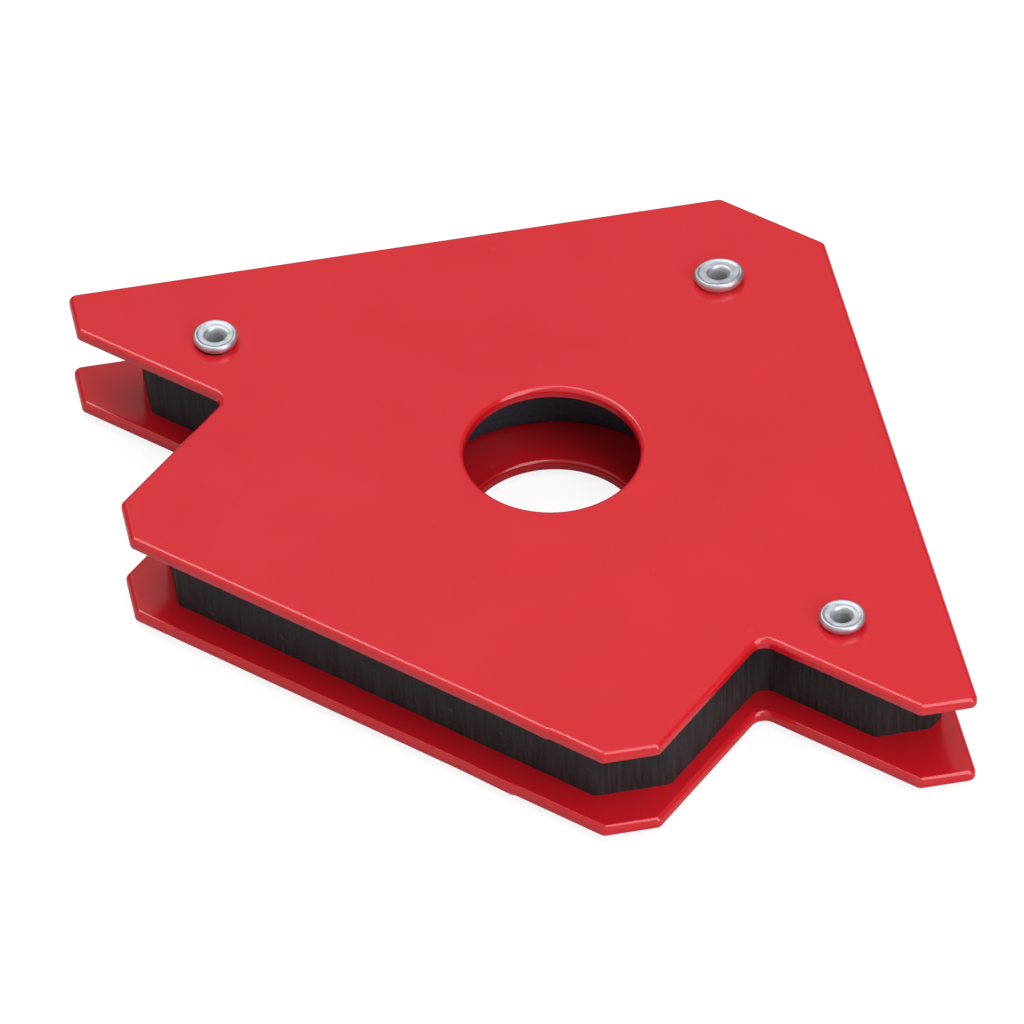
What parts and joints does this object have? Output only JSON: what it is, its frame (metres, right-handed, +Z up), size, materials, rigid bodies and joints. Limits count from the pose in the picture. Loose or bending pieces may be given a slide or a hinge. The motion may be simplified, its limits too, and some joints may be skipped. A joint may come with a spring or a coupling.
{
  "type": "welding magnet holder",
  "caption": "Arrow-shaped magnetic welding holder: two riveted red steel plates around a ring magnet and black filler, with a central hole.",
  "frame": {"origin": "on the surface that the holder lies on, under the middle of its outline", "axes": "+X from the left barb to the right barb, +Y from the straight base edge to the apex, +Z up through the plates"},
  "size_m": [0.1192, 0.082, 0.0146],
  "materials": {
    "front_coat": "gloss",
    "back_coat": "gloss",
    "foam": "matte",
    "ferrite": "satin",
    "zinc_apex": "polished",
    "zinc_left": "polished",
    "zinc_right": "polished",
    "sleeve_steel_apex": "satin",
    "sleeve_steel_left": "satin",
    "sleeve_steel_right": "satin"
  },
  "bodies": {
    "root": {"front_plate": "front_coat", "back_plate": "back_coat", "foam_filler": "foam", "ring_magnet": "ferrite", "rivet_apex": "zinc_apex", "rivet_left": "zinc_left", "rivet_right": "zinc_right", "sleeve_apex": "sleeve_steel_apex", "sleeve_left": "sleeve_steel_left", "sleeve_right": "sleeve_steel_right"}
  },
  "joints": []
}
